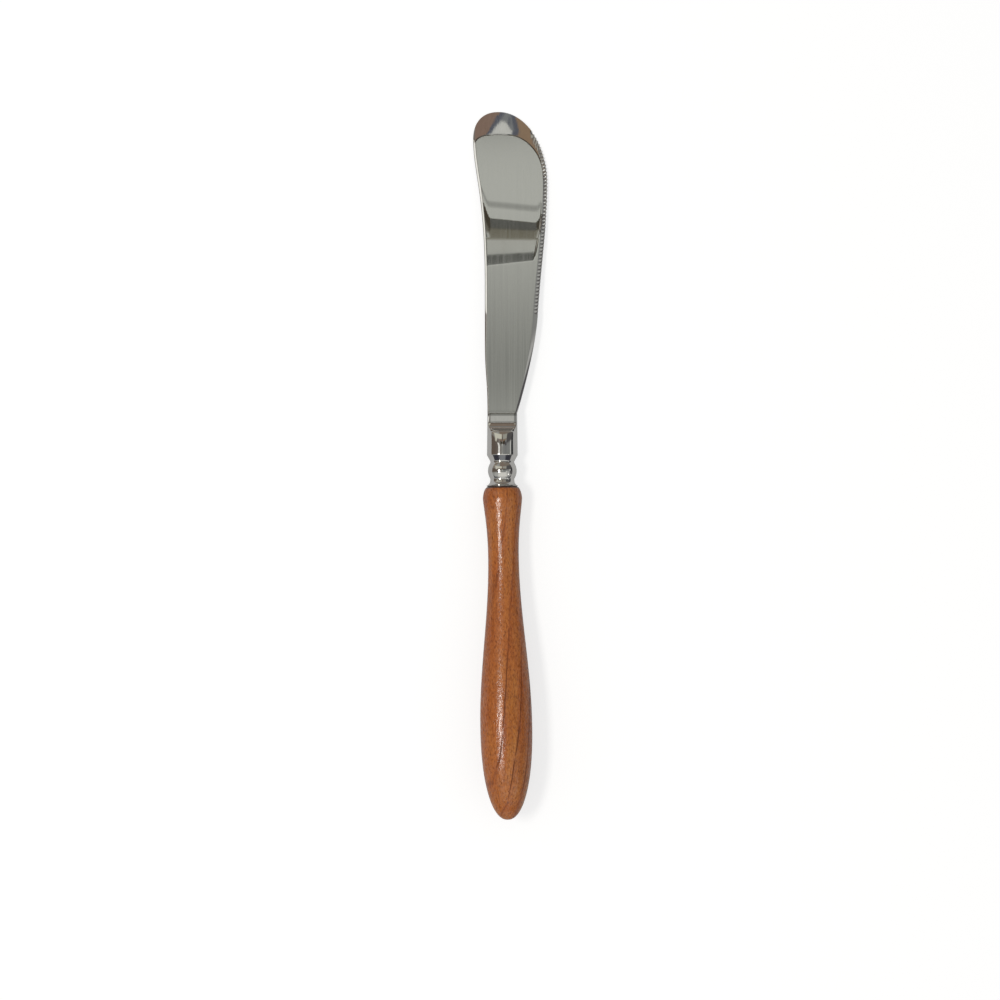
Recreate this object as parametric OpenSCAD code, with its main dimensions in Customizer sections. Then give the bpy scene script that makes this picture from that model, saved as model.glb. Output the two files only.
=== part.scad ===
// Table knife: a rounded blade with fine teeth, a turned steel bolster and a turned wooden handle.
// The knife lies flat on a table, touching it with the blade's tip and the shoulder of the handle.
// +Y runs towards the tip, +X towards the toothed edge and +Z up. Lengths are in millimetres.
// The origin is on the table, under the middle of the knife.

/* [Blade] */
// Length of the blade, from the bolster to the tip
blade_length = 89.8; // [84:0.1:100]
// Thickness at the heel
blade_thickness = 1.45; // [1.1:0.05:2]
// Thickness of the flats at the tip
tip_thickness = 0.75; // [0.6:0.05:1]
// Distance from the heel at which the blade starts to thin
thinning_start = 44; // [36:1:50]
// Length over which the blade thins
thinning_length = 14.2; // [10:0.1:18]
// Distance of the straight spine from the knife's axis
spine_belly = 5.2; // [4.6:0.05:6]
// Distance from the heel at which the spine is at its belly
belly_start = 22; // [18:0.5:26]
// Distance from the heel at which the spine sweeps out again
belly_end = 38; // [30:0.5:44]
// Furthest reach of the spine from the axis, at the tip's shoulder
spine_reach = 8.65; // [7.5:0.05:10]
// Length of the tip's round on the spine side
spine_round = 8.4; // [6:0.1:11]
// Furthest reach of the edge from the axis
edge_reach = 13.45; // [12:0.05:15]
// Length of the tip's round on the edge side
edge_round = 21; // [17:0.1:25]
// Distance of the edge from the axis where the teeth end
edge_heel_reach = 10.55; // [9.5:0.05:11.5]
// Offset of the tip's crown from the axis, towards the spine
crown_offset = 1; // [-2:0.1:3]

/* [Grind] */
// Width of the rounded land along the spine
spine_land = 0.7; // [0.4:0.05:1.2]
// Thickness left at the spine
spine_rim = 0.7; // [0.3:0.05:0.75]
// Width of the bevel along the teeth
edge_bevel = 1.3; // [0.9:0.05:1.6]
// Width of the bevel at the heel
heel_bevel = 0.6; // [0.4:0.05:1]
// Thickness left at the edge
edge_rim = 0.2; // [0.1:0.02:0.3]
// Length of the bevel at the tip's crown
tip_bevel = 6.6; // [5:0.1:7.5]

/* [Teeth] */
// Distance from the heel at which the teeth end
teeth_start = 29.4; // [25:0.1:35]
// Length of the toothed stretch, measured along the edge
teeth_length = 56; // [40:0.5:60]
// Pitch of the teeth
tooth_pitch = 1.09; // [0.9:0.01:1.6]
// Width of the land left between two grooves
tooth_land = 0.15; // [0.1:0.01:0.25]
// Depth of each groove at the edge
groove_depth = 0.3; // [0.2:0.01:0.35]
// Distance from the edge at which each groove runs out on the bevel
groove_run = 1.26; // [0.9:0.02:1.5]

/* [Blade tenon] */
// Width of the tenon
tenon_width = 5.6; // [4.5:0.1:6.2]
// Thickness of the tenon
tenon_thickness = 1; // [0.8:0.05:1.2]
// Length of the tenon
tenon_length = 11; // [8:0.1:12]
// Room for solder on each side of the tenon
solder_gap = 0.05; // [0.02:0.01:0.1]
// Room below the tenon's end
mortise_room = 0.3; // [0.1:0.05:0.5]

/* [Bolster] */
// Length of the bolster
bolster_length = 21.6; // [20:0.1:24]
// Diameter of the neck that meets the blade
neck_d = 8.8; // [8.2:0.05:9.4]
// Thickness of the neck's flat
neck_thickness = 2.4; // [2:0.05:3]
// Length of the neck's flat
neck_flat = 2.2; // [1.5:0.1:3]
// Radius of the cove between the neck's flat and the barrel
cove_r = 3.2; // [2.6:0.05:3.6]
// Diameter of the barrel at its lower end
barrel_d = 9.1; // [8.8:0.05:10]
// Height of the barrel's lower end above the foot
barrel_base = 9.6; // [9.2:0.05:10.4]
// Height of the turned groove under the barrel
groove_height = 7.8; // [7.5:0.05:8.2]
// Diameter of the ball
ball_d = 8.5; // [8:0.05:9]
// Height of the ball's centre above the foot
ball_height = 5; // [4.7:0.05:5.3]
// Diameter of the waists above and below the ball
waist_d = 7.1; // [6.6:0.05:7.5]
// Diameter of the foot
foot_d = 9.2; // [8.8:0.05:9.4]
// Thickness of the foot's rim
foot_rim = 0.4; // [0.2:0.05:0.7]
// Height at which the foot's flare leaves the lower waist
flare_height = 1.6; // [1.5:0.05:2.2]

/* [Tang] */
// Diameter of the tang
tang_d = 3; // [2.6:0.05:3.4]
// Depth to which the tang is pressed into the bolster
tang_seat = 6.4; // [5:0.1:7.5]
// Length of the tang below the bolster
tang_length = 48; // [40:0.5:56]
// Depth of the rings that key the tang into the glue
key_depth = 0.25; // [0.15:0.05:0.4]
// Width of each ring
key_width = 1.4; // [1:0.1:2]
// Pitch of the rings
key_pitch = 6; // [4:0.5:8]
// Length of the chamfer at the tang's end
tang_chamfer = 0.8; // [0.4:0.1:1.2]

/* [Handle] */
// Length of the handle
handle_length = 98.3; // [92:0.1:106]
// Diameter of the handle's top, under the bolster
seat_d = 9.2; // [8.8:0.05:9.8]
// Diameter of the shoulder
shoulder_d = 11.64; // [10.6:0.02:12.4]
// Distance of the shoulder from the handle's top
shoulder_at = 3.4; // [2.6:0.1:4.4]
// Diameter of the waist
handle_waist_d = 9.08; // [8.4:0.02:10]
// Distance of the waist from the handle's top
handle_waist_at = 20.5; // [16:0.5:26]
// Diameter of the swell
swell_d = 15.36; // [14:0.02:17]
// Distance of the swell from the handle's top
swell_at = 71; // [64:0.5:76]
// Angle at which the wood is set off the blade's line
handle_lean = 0.95; // [-1.5:0.05:1.5]

/* [Glue] */
// Diameter of the bore in the handle
bore_d = 4; // [3.8:0.05:4.4]
// Room below the tang's end
bore_room = 1.5; // [1:0.1:3]
// Thickness of the glue line under the bolster
glue_line = 0.3; // [0.2:0.05:0.5]
// How far the glue line stays in from the foot's rim
glue_inset = 0.15; // [0.1:0.05:0.3]

/* [Hidden] */

// Steps along the blade's thick and thin flats, its thinning, its round and the handle's curves
flat_steps = 14;
thin_steps = 6;
thin_flat_steps = 4;
round_steps = 16;
handle_steps = 12;
// The blade's sections stop just short of the crown, so that the last one keeps a width
round_end = 89;
// Shapes of the rounds: 2 is an ellipse and more is squarer
spine_round_power = 2.35;
edge_round_power = 1.96;
face_round_power = 2.3;
shoulder_power = 1.7;
butt_power = 2.2;
// How quickly the handle draws in below its shoulder: 1 is an even wave
shoulder_draw = 0.62;
// How far the cutters reach into open air
over = 1;
$fn = 48;

seam_y = bolster_length;
tip_y = seam_y + blade_length;
thin_y = seam_y + thinning_start;
thin_end_y = thin_y + thinning_length;
teeth_y = seam_y + teeth_start;
spine_shoulder_y = tip_y - spine_round;
edge_shoulder_y = tip_y - edge_round;
face_crown_y = tip_y - tip_bevel;
heel_half = neck_d / 2;

// Table of a curve with four control points, read along the blade
function bezier(p, t) =
    pow(1 - t, 3) * p[0] + 3 * t * pow(1 - t, 2) * p[1] + 3 * t * t * (1 - t) * p[2] + pow(t, 3) * p[3];
function curve(p) = [for (t = [0:1 / 24:1.001]) bezier(p, t)];

// Reach of a superellipse's quarter at a place along the blade
function corner(y, from, rise, reach, power) =
    reach * pow(max(0, 1 - pow((y - from) / rise, power)), 1 / power);

// Spine: heel, belly and sweep to the tip's shoulder
spine_sweep = spine_shoulder_y - seam_y - belly_end;
spine_table = concat(
    curve([
        [seam_y, heel_half],
        [seam_y + belly_start / 2, heel_half],
        [seam_y + belly_start / 2, spine_belly],
        [seam_y + belly_start, spine_belly],
    ]),
    curve([
        [seam_y + belly_end, spine_belly],
        [seam_y + belly_end + spine_sweep * 0.64, spine_belly],
        [spine_shoulder_y - spine_sweep * 0.23, spine_reach],
        [spine_shoulder_y, spine_reach],
    ])
);

// Edge: heel to the end of the teeth, then the toothed sweep to the tip's shoulder
edge_sweep = edge_shoulder_y - teeth_y;
edge_slope = 0.065;
edge_table = concat(
    curve([
        [seam_y, heel_half],
        [seam_y + teeth_start * 0.48, heel_half + (edge_heel_reach - heel_half) * 0.66],
        [teeth_y - teeth_start * 0.22, edge_heel_reach - teeth_start * 0.22 * edge_slope],
        [teeth_y, edge_heel_reach],
    ]),
    curve([
        [teeth_y, edge_heel_reach],
        [teeth_y + edge_sweep * 0.38, edge_heel_reach + edge_sweep * 0.38 * edge_slope],
        [edge_shoulder_y - edge_sweep * 0.32, edge_reach],
        [edge_shoulder_y, edge_reach],
    ])
);

// Outline of the blade, and outline of its flat face inside the land and the bevels
crown_x = -crown_offset;
function spine_x(y) =
    y < spine_shoulder_y ? -lookup(y, spine_table)
    : crown_x - corner(y, spine_shoulder_y, spine_round, spine_reach - crown_offset, spine_round_power);
function edge_x(y) =
    y < edge_shoulder_y ? lookup(y, edge_table)
    : crown_x + corner(y, edge_shoulder_y, edge_round, edge_reach + crown_offset, edge_round_power);
function bevel(y) = heel_bevel + (edge_bevel - heel_bevel) * min(1, (y - seam_y) / teeth_start);
function face_spine_x(y) =
    y < spine_shoulder_y ? spine_land - lookup(y, spine_table)
    : crown_x - corner(y, spine_shoulder_y, face_crown_y - spine_shoulder_y,
                       spine_reach - spine_land - crown_offset, 2);
function face_edge_x(y) =
    y < edge_shoulder_y ? lookup(y, edge_table) - bevel(y)
    : crown_x + corner(y, edge_shoulder_y, face_crown_y - edge_shoulder_y,
                       edge_reach - edge_bevel + crown_offset, face_round_power);

// Half the blade's thickness, even on both sides of the stretch where it thins
function half_thickness(y) =
    let (t = min(1, max(0, (y - thin_y) / thinning_length)))
    (blade_thickness - (blade_thickness - tip_thickness) * t) / 2;

// Place on the face that goes with a place on the outline: round the tip the face ends lower
function face_place(y) =
    y < edge_shoulder_y ? y
    : edge_shoulder_y + (y - edge_shoulder_y) * (face_crown_y - edge_shoulder_y) / edge_round;

// Places of the sections along the outline
outline_places = concat(
    [for (i = [0:flat_steps - 1]) seam_y + thinning_start * i / flat_steps],
    [for (i = [0:thin_steps - 1]) thin_y + thinning_length * i / thin_steps],
    [for (i = [0:thin_flat_steps - 1]) thin_end_y + (edge_shoulder_y - thin_end_y) * i / thin_flat_steps],
    [for (i = [0:round_steps]) edge_shoulder_y + edge_round * sin(round_end * i / round_steps)]
);
sections = len(outline_places);

// The spine's rim thins to the edge's rim round the tip
function spine_half(y) =
    (spine_rim + (edge_rim - spine_rim) * max(0, (y - spine_shoulder_y) / spine_round)) / 2;

// Points of one section, from the spine's underside round to its top
function section(y) =
    let (f = face_place(y), h = half_thickness(f), s = spine_half(y), e = edge_rim / 2)
    [
        [spine_x(y), y, -s],
        [face_spine_x(f), f, -h],
        [face_edge_x(f), f, -h],
        [edge_x(y), y, -e],
        [edge_x(y), y, e],
        [face_edge_x(f), f, h],
        [face_spine_x(f), f, h],
        [spine_x(y), y, s],
    ];

// Path of the toothed edge, with the distance along it
tooth_path = concat(
    [for (i = [0:11]) let (y = teeth_y + edge_sweep * i / 12) [edge_x(y), y]],
    [for (i = [0:30]) let (y = edge_shoulder_y + edge_round * sin(round_end * i / 30)) [edge_x(y), y]]
);
path_length = [
    for (i = 0, s = 0; i < len(tooth_path); i = i + 1,
         s = i < len(tooth_path) ? s + norm(tooth_path[i] - tooth_path[i - 1]) : s) s
];
path_x = [for (i = [0:len(tooth_path) - 1]) [path_length[i], tooth_path[i][0]]];
path_y = [for (i = [0:len(tooth_path) - 1]) [path_length[i], tooth_path[i][1]]];
function on_edge(s) = [lookup(s, path_x), lookup(s, path_y)];

// Slope of the bevel at a place along the edge, and the angle of a groove that runs out of it there
function bevel_slope(y) =
    let (f = face_place(y))
    (half_thickness(f) - edge_rim / 2) / norm([edge_x(y) - face_edge_x(f), y - f]);
function groove_rise(y) = atan(bevel_slope(y) + groove_depth / groove_run);

tooth_count = floor(teeth_length / tooth_pitch);
groove_chord = tooth_pitch - tooth_land;
groove_r = (groove_chord * groove_chord / 4 + groove_depth * groove_depth) / (2 * groove_depth);
groove_reach = edge_bevel + 2 * over;

// Radii of the turned pieces
waist_r = waist_d / 2;
barrel_r = barrel_d / 2;
foot_r = foot_d / 2;
tang_r = tang_d / 2;
seat_r = seat_d / 2;
shoulder_r = shoulder_d / 2;
handle_waist_r = handle_waist_d / 2;
swell_r = swell_d / 2;
flare_rise = flare_height - foot_rim;
flare_step = foot_r - waist_r;
flare_r = (flare_step * flare_step + flare_rise * flare_rise) / (2 * flare_step);
bore_depth = tang_length + bore_room;
key_count = floor((tang_length - 2 * key_pitch) / key_pitch);

// Side of the turned handle: radius and distance below its top
handle_side = concat(
    [for (i = [0:handle_steps - 1])
        let (a = 90 * i / handle_steps)
        [seat_r + (shoulder_r - seat_r) * pow(sin(a), 2 / shoulder_power),
         shoulder_at * (1 - pow(cos(a), 2 / shoulder_power))]],
    [for (i = [0:handle_steps - 1])
        let (t = i / handle_steps)
        [handle_waist_r + (shoulder_r - handle_waist_r) * (1 + cos(180 * pow(t, shoulder_draw))) / 2,
         shoulder_at + (handle_waist_at - shoulder_at) * t]],
    [for (i = [0:handle_steps * 2 - 1])
        let (t = i / handle_steps / 2)
        [swell_r + (handle_waist_r - swell_r) * (1 + cos(180 * t)) / 2,
         handle_waist_at + (swell_at - handle_waist_at) * t]],
    [for (i = [0:handle_steps * 2])
        let (a = 90 * i / handle_steps / 2)
        [i == handle_steps * 2 ? 0 : swell_r * pow(cos(a), 2 / butt_power),
         swell_at + (handle_length - swell_at) * pow(sin(a), 2 / butt_power)]]
);

// Rest: the line under the knife that touches both the handle and the blade
blade_feet = [[face_crown_y, half_thickness(face_crown_y)], [tip_y, edge_rim / 2]];
handle_feet = [for (p = handle_side) [-glue_line - p[1] * cos(handle_lean), p[0]]];
rest_slope = min([for (b = blade_feet) max([for (h = handle_feet) (h[1] - b[1]) / (b[0] - h[0])])]);
rest_tilt = atan(rest_slope);
rest_height = max([for (h = handle_feet) h[0] * sin(rest_tilt) + h[1] * cos(rest_tilt)]);
butt_y = -glue_line - handle_length * cos(handle_lean);
mid_x = (edge_reach - spine_reach) / 2;
mid_y = ((tip_y + butt_y) * cos(rest_tilt) + sin(rest_tilt) * edge_rim / 2) / 2;

// Lays a piece down as it rests on the table
module lay() {
    translate([-mid_x, -mid_y, rest_height])
        rotate([-rest_tilt, 0, 0])
        children();
}

// Turns a profile about the knife's axis
module turned() {
    rotate([-90, 0, 0])
        rotate_extrude()
        children();
}

module blade_body() {
    polyhedron(
        points = [for (i = [0:sections - 1]) each section(outline_places[i])],
        faces = concat(
            [[7, 6, 5, 4, 3, 2, 1, 0]],
            [for (i = [0:sections - 2]) for (j = [0:7])
                [8 * i + j, 8 * i + (j + 1) % 8, 8 * i + 8 + (j + 1) % 8, 8 * i + 8 + j]],
            [for (f = [[0, 1, 2, 3], [0, 3, 4, 7], [4, 5, 6, 7]]) [for (k = f) 8 * (sections - 1) + k]]
        ),
        convexity = 4
    );
}

// One groove of the teeth, run across the bevel from the open side of the edge
module tooth_groove(s) {
    p = on_edge(s);
    d = on_edge(s + tooth_pitch / 4) - on_edge(s - tooth_pitch / 4);
    translate([p[0], p[1], edge_rim / 2])
        rotate([0, 0, atan2(d[0], -d[1])])
        rotate([0, -groove_rise(p[1]), 0])
        translate([-over, 0, groove_r - groove_depth])
        rotate([0, 90, 0])
        cylinder(r = groove_r, h = groove_reach, $fn = 16);
}

module blade() {
    color("silver")
    lay()
    difference() {
        union() {
            blade_body();
            translate([-tenon_width / 2, seam_y - tenon_length, -tenon_thickness / 2])
                cube([tenon_width, tenon_length + over, tenon_thickness]);
        }
        for (i = [0:tooth_count - 1]) tooth_groove(tooth_pitch * (i + 0.5));
    }
}

module bolster_profile() {
    polygon([
        [0, groove_height],
        [waist_r, groove_height],
        [barrel_r, barrel_base],
        [heel_half, seam_y],
        [0, seam_y],
    ]);
    square([waist_r, groove_height]);
    intersection() {
        translate([0, ball_height]) circle(d = ball_d);
        square([ball_d, 2 * ball_height]);
    }
    difference() {
        square([foot_r, flare_height]);
        translate([waist_r + flare_r, flare_height]) circle(r = flare_r);
    }
}

// Hollow cut into one face of the bolster, down to the neck's flat
module neck_cut() {
    translate([0, seam_y - neck_flat, neck_thickness / 2 + cove_r])
        rotate([0, 90, 0])
        cylinder(r = cove_r, h = 2 * barrel_d, center = true);
    translate([-barrel_d, seam_y - neck_flat, neck_thickness / 2])
        cube([2 * barrel_d, neck_flat + over, barrel_d]);
}

module bolster() {
    mortise_w = tenon_width + 2 * solder_gap;
    mortise_t = tenon_thickness + 2 * solder_gap;
    mortise_l = tenon_length + mortise_room;
    color("lightgray")
    lay()
    difference() {
        turned() bolster_profile();
        neck_cut();
        rotate([0, 180, 0]) neck_cut();
        translate([-mortise_w / 2, seam_y - mortise_l, -mortise_t / 2])
            cube([mortise_w, mortise_l + over, mortise_t]);
        translate([0, -over, 0])
            rotate([-90, 0, 0])
            cylinder(d = tang_d, h = tang_seat + over);
    }
}

module tang_profile() {
    difference() {
        polygon([
            [0, tang_seat],
            [tang_r, tang_seat],
            [tang_r, tang_chamfer - tang_length],
            [tang_r - tang_chamfer, -tang_length],
            [0, -tang_length],
        ]);
        for (i = [1:key_count])
            translate([tang_r - key_depth, -key_pitch * (i + 1)])
            square([key_depth + over, key_width]);
    }
}

module tang() {
    color("gray")
    lay()
    turned() tang_profile();
}

// Bore of the handle, with the point that the drill leaves
module bore(top) {
    rotate([90, 0, 0]) {
        translate([0, 0, -top]) cylinder(d = bore_d, h = bore_depth + top);
        translate([0, 0, bore_depth]) cylinder(d1 = bore_d, d2 = 0, h = bore_d * 0.3);
    }
}

module glue_bed() {
    color("saddlebrown")
    lay()
    difference() {
        union() {
            bore(0);
            rotate([90, 0, 0]) cylinder(d = foot_d - 2 * glue_inset, h = glue_line);
        }
        turned() tang_profile();
    }
}

module handle() {
    color("sienna")
    lay()
    difference() {
        translate([0, -glue_line, 0])
            rotate([0, 0, handle_lean])
            turned()
            polygon(concat(
                [[0, over / 2], [seat_r, over / 2]],
                [for (p = handle_side) [p[0], -p[1]]]
            ));
        translate([-seat_d, -glue_line, -seat_d])
            cube([2 * seat_d, 2 * over, 2 * seat_d]);
        bore(0);
    }
}

blade();
bolster();
tang();
glue_bed();
handle();
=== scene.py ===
# Table knife: a satin steel blade with fine teeth, a polished bolster and a varnished wooden handle.
# Shapes are worked out in millimetres along the knife's own axis, then laid down as the solids lie.
from math import cos, hypot, pi, radians, sin, sqrt, tan

import bmesh
import bpy
import numpy as np
from mathutils import Matrix, Vector


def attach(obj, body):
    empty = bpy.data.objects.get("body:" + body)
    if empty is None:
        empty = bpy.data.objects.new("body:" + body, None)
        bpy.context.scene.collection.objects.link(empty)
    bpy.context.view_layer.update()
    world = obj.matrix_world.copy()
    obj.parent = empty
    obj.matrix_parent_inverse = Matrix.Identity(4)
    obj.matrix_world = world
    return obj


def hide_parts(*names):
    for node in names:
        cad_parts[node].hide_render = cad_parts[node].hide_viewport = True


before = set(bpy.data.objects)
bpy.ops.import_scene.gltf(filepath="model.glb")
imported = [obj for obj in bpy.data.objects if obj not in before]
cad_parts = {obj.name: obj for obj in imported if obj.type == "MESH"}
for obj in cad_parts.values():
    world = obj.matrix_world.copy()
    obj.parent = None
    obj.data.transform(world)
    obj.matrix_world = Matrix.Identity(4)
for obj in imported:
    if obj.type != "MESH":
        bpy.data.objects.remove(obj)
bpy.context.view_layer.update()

# How the knife lies on the table
MM = 0.001
REST_TILT = radians(2.84659)
REST_HEIGHT = 5.63222
MID_X = 2.4
MID_Y = 6.40133
HANDLE_LEAN = radians(0.95)
LAY = (
    Matrix.Scale(MM, 4)
    @ Matrix.Translation((-MID_X, -MID_Y, REST_HEIGHT))
    @ Matrix.Rotation(-REST_TILT, 4, "X")
)

# Places along the knife, from the bolster's foot
SEAM = 21.6
TIP = 111.4
TEETH_END = 51.0
EDGE_SHOULDER = 90.4
SPINE_SHOULDER = 103.0
FACE_CROWN = 104.5
SPINE_FACE_SHOULDER = 102.2
SPINE_FACE_TURN = 101.5
GLUE_LINE = 0.3

CURVE_STEPS = 160
NEAR = 1e-4
TINY = 1e-6


def smooth_step(t):
    t = min(1.0, max(0.0, t))
    return t * t * (3 - 2 * t)


def bezier(points):
    t = np.linspace(0, 1, CURVE_STEPS + 1)[:, None]
    p = np.array(points, dtype=float)
    return (1 - t) ** 3 * p[0] + 3 * t * (1 - t) ** 2 * p[1] + 3 * t * t * (1 - t) * p[2] + t ** 3 * p[3]


# Piece helpers

MERGE_WITHIN = 2e-4
SHORTEST_EDGE = 1e-5
# Angle past which an edge is shaded sharp
SHARP_ANGLE = {"blade": radians(35), "bolster": radians(50), "handle": radians(60)}


def new_object(bm, name, *materials):
    mesh = bpy.data.meshes.new(name)
    bm.to_mesh(mesh)
    bm.free()
    for material in materials:
        mesh.materials.append(material)
    made = bpy.data.objects.new(name, mesh)
    bpy.context.scene.collection.objects.link(made)
    return made


def finish_piece(bm, name, materials, node):
    """Lays the mesh down, sets its shading and puts it in the knife."""
    bmesh.ops.remove_doubles(bm, verts=bm.verts, dist=MERGE_WITHIN)
    bmesh.ops.dissolve_degenerate(bm, dist=SHORTEST_EDGE, edges=bm.edges)
    bmesh.ops.recalc_face_normals(bm, faces=bm.faces)
    for face in bm.faces:
        face.smooth = True
    for edge in bm.edges:
        if len(edge.link_faces) == 2 and edge.calc_face_angle(0) > SHARP_ANGLE[node]:
            edge.smooth = False
    bmesh.ops.transform(bm, matrix=LAY, verts=bm.verts)
    piece = new_object(bm, name, *materials)
    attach(piece, "root")
    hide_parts(node)


def loft(bm, rings):
    """Extrudes a ring of points from section to section. Returns the column layer and the last edges."""
    column = bm.verts.layers.int.new("column")
    first = [bm.verts.new(p) for p in rings[0]]
    for i, v in enumerate(first):
        v[column] = i
    edges = [bm.edges.new((v, first[i - 1])) for i, v in enumerate(first)]
    bmesh.ops.contextual_create(bm, geom=edges)
    for ring in rings[1:]:
        grown = bmesh.ops.extrude_edge_only(bm, edges=edges)["geom"]
        verts = [g for g in grown if isinstance(g, bmesh.types.BMVert)]
        fresh = set(verts)
        for v in verts:
            v.co = ring[v[column]]
        edges = [g for g in grown if isinstance(g, bmesh.types.BMEdge) and set(g.verts) <= fresh]
    return column, edges


# Blade: outline, flat face and grind

CROWN_X = -1.0
BLADE_HALF = 0.725
TIP_HALF = 0.375
HEEL_HALF_WIDTH = 4.4
STRAIGHT_SPINE = 5.2
TEETH_END_X = 10.55
# Land along the spine: its width, its share at the heel, and where and over what length it grows
SPINE_LAND = 0.7
LAND_AT_HEEL = 0.4
LAND_GROWS = (40.0, 14.0)
EDGE_BEVEL = 1.3
HEEL_BEVEL = 0.6
EDGE_RIM = 0.1
# Tenon: half its width, where it ends and half its thickness
TENON = (2.8, 10.6, 0.5)
# Rounds of the tip: reach from the crown's line, and power, where 2 is an ellipse
SPINE_ROUND = (7.65, 2.35)
EDGE_ROUND = (14.45, 1.96)
FACE_SPINE_ROUND = (6.95, 2.0)
FACE_EDGE_ROUND = (13.15, 2.3)

# Outline from the heel to the shoulders: place along the knife, and distance from its axis
spine_reach = SPINE_ROUND[0] - CROWN_X
edge_reach = EDGE_ROUND[0] + CROWN_X
spine_points = np.vstack([
    bezier([(SEAM, HEEL_HALF_WIDTH), (32.6, HEEL_HALF_WIDTH), (32.6, STRAIGHT_SPINE),
            (43.6, STRAIGHT_SPINE)]),
    bezier([(59.6, STRAIGHT_SPINE), (87.376, STRAIGHT_SPINE), (93.018, spine_reach),
            (SPINE_SHOULDER, spine_reach)]),
])
edge_points = np.vstack([
    bezier([(SEAM, HEEL_HALF_WIDTH), (35.712, 8.459), (44.532, 10.13), (TEETH_END, TEETH_END_X)]),
    bezier([(TEETH_END, TEETH_END_X), (65.972, 11.523), (77.792, edge_reach), (EDGE_SHOULDER, edge_reach)]),
])


def corner(y, start, rise, reach, power):
    return reach * max(0.0, 1 - max(0.0, (y - start) / rise) ** power) ** (1 / power)


def spine_x(y):
    if y < SPINE_SHOULDER:
        return -float(np.interp(y, spine_points[:, 0], spine_points[:, 1]))
    return CROWN_X - corner(y, SPINE_SHOULDER, TIP - SPINE_SHOULDER, *SPINE_ROUND)


def edge_x(y):
    if y < EDGE_SHOULDER:
        return float(np.interp(y, edge_points[:, 0], edge_points[:, 1]))
    return CROWN_X + corner(y, EDGE_SHOULDER, TIP - EDGE_SHOULDER, *EDGE_ROUND)


def spine_land(y):
    grown = smooth_step((y - LAND_GROWS[0]) / LAND_GROWS[1])
    return SPINE_LAND * (LAND_AT_HEEL + (1 - LAND_AT_HEEL) * grown)


def face_spine_x(y):
    if y < SPINE_FACE_SHOULDER:
        return spine_x(y) + spine_land(y)
    return CROWN_X - corner(y, SPINE_FACE_SHOULDER, FACE_CROWN - SPINE_FACE_SHOULDER, *FACE_SPINE_ROUND)


def face_edge_x(y):
    if y < EDGE_SHOULDER:
        grown = min(1.0, (y - SEAM) / (TEETH_END - SEAM))
        return edge_x(y) - HEEL_BEVEL - (EDGE_BEVEL - HEEL_BEVEL) * grown
    return CROWN_X + corner(y, EDGE_SHOULDER, FACE_CROWN - EDGE_SHOULDER, *FACE_EDGE_ROUND)


def face_place(y, turn):
    """Place on the flat face that goes with a place on the outline, which draws ahead from its turn on."""
    if y < turn:
        return y
    return turn + (y - turn) * (FACE_CROWN - turn) / (TIP - turn)


# The face drops from the thick heel to the thin tip in a shallow hollow: slope against the share of its
# length, from its foot to the crease where it meets the thin face. The hollow is shorter toward the edge,
# so the thick face falls a little that way.
HOLLOW_SLOPE = (
    (0.00, 0.0), (0.025, 0.0155), (0.20, 0.0170), (0.27, 0.0214), (0.52, 0.0219),
    (0.60, 0.0267), (0.76, 0.0273), (0.83, 0.0330), (1.00, 0.0345),
)
HOLLOW_STEPS = 400
# Foot of the hollow and crease: place on the axis, and shift for each millimetre across
HOLLOW_FOOT = (65.75, 0.115)
CREASE = (79.35, -0.10)
# Curls of the crease along the sides: how far it runs on, over what width and by what power
SPINE_CURL = (4.9, 1.5, 1.4)
EDGE_CURL = (2.9, 1.7, 1.5)
# Share of the hollow's length past which it follows the curls
CURL_FROM = 0.6
# Dip past the crease: its depth, where it rises again and over what length
CREASE_DIP = 0.022
DIP_RISE = (2.9, 2.6)
# Narrow strip of full thickness left beside the hollow, along the edge: its width, and where it drops
STRIP_PLACES = (66.8, 69.7, 74.2, 76.0)
STRIP_WIDTHS = (1.5, 1.05, 0.55, 0.4)
STRIP_DROP = (74.5, 81.2)
STRIP_WALL = 0.2
hollow_t = np.linspace(0, 1, HOLLOW_STEPS + 1)
hollow_slope = np.interp(hollow_t, *zip(*HOLLOW_SLOPE))
hollow_falls = (hollow_slope[1:] + hollow_slope[:-1]) / 2 / HOLLOW_STEPS
hollow_drop = np.concatenate([[0.0], np.cumsum(hollow_falls)])


def strip_width(y):
    return float(np.interp(y, STRIP_PLACES, STRIP_WIDTHS))


def face_height(x, y):
    """Half the blade's thickness, with the crease curling up along the sides."""
    by_spine = max(0.0, 1 - (x - face_spine_x(y)) / SPINE_CURL[1]) ** SPINE_CURL[2]
    by_edge = max(0.0, 1 - (face_edge_x(y) - x) / EDGE_CURL[1]) ** EDGE_CURL[2]
    foot = HOLLOW_FOOT[0] + HOLLOW_FOOT[1] * x
    length = CREASE[0] + CREASE[1] * x - foot
    crease = foot + length + SPINE_CURL[0] * by_spine + EDGE_CURL[0] * by_edge
    full = min(BLADE_HALF - TIP_HALF, length * hollow_drop[-1])
    t = (y - foot) / length
    if t > CURL_FROM:
        bend = foot + CURL_FROM * length
        t = CURL_FROM + (1 - CURL_FROM) * (y - bend) / (crease - bend)
    drop = (full + CREASE_DIP) * float(np.interp(t, hollow_t, hollow_drop)) / hollow_drop[-1]
    drop -= CREASE_DIP * smooth_step((y - crease - DIP_RISE[0]) / DIP_RISE[1])
    on_strip = smooth_step((x - face_edge_x(y) + strip_width(y)) / STRIP_WALL + 0.5)
    strip_drop = full * smooth_step((y - STRIP_DROP[0]) / (STRIP_DROP[1] - STRIP_DROP[0]))
    drop += (strip_drop - drop) * on_strip
    return TIP_HALF + full - drop


# Solder bead where the face meets the bolster's neck
BEAD_WIDTH = 0.8
BEAD_HEIGHT = 0.014


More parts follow.
